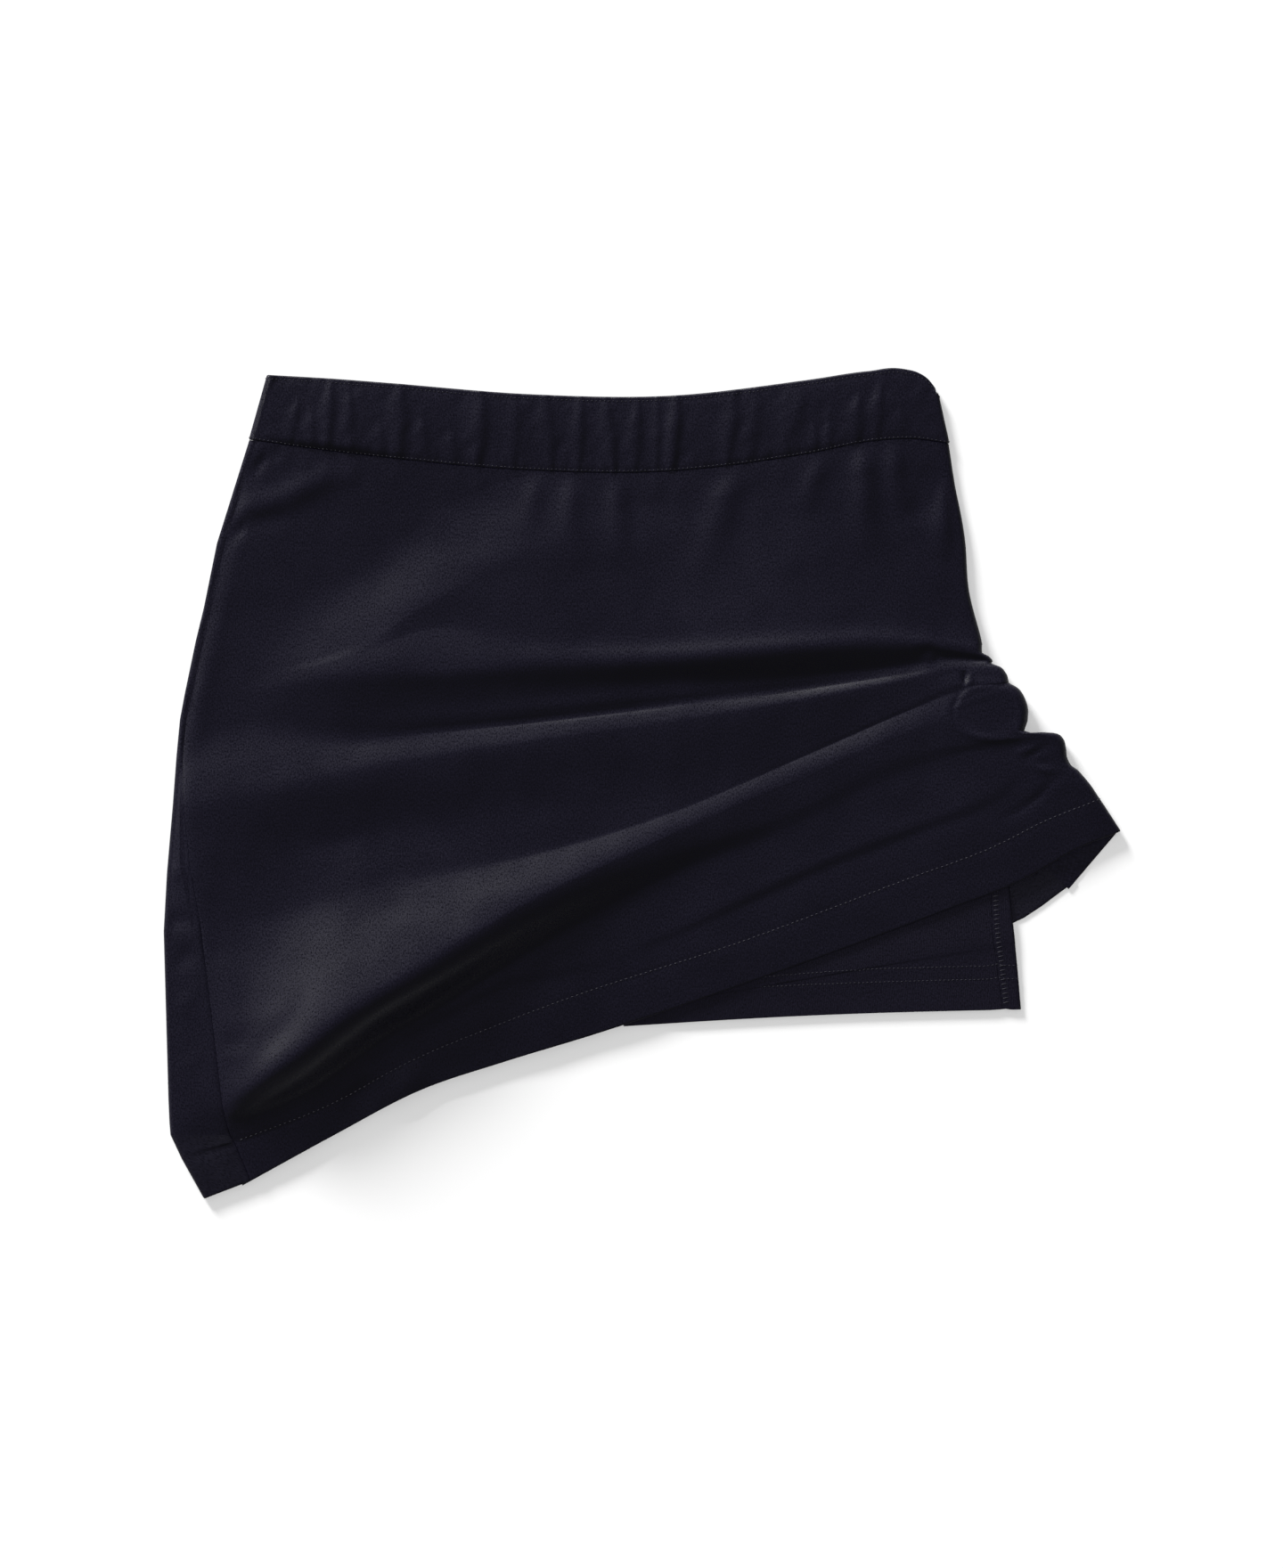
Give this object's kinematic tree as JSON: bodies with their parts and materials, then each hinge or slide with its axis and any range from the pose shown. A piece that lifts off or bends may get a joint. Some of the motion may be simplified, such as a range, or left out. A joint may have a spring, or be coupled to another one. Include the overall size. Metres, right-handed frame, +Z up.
{
  "type": "chino skort",
  "caption": "Pull-on skort in dark twill, lying flat: a skirt over inner shorts under a gathered elastic waistband, its hem swept up at one side.",
  "frame": {"origin": "middle of the overall box, on the table that the garment lies on", "axes": "+X towards the swept-up end of the hem, +Y from hem to waistband, +Z up from the table"},
  "size_m": [0.5366, 0.466, 0.0323],
  "materials": {
    "waistband_twill": "matt fine twill, very dark navy",
    "skirt_twill": "matt fine twill with a soft sheen, very dark navy",
    "shorts_knit": "matt smooth knit, very dark navy"
  },
  "bodies": {
    "root": {"waistband": "waistband_twill", "skirt_front": "skirt_twill", "skirt_back": "skirt_twill", "shorts_right_front": "shorts_knit", "shorts_right_back": "shorts_knit", "shorts_left_front": "shorts_knit", "shorts_left_back": "shorts_knit"}
  },
  "joints": []
}
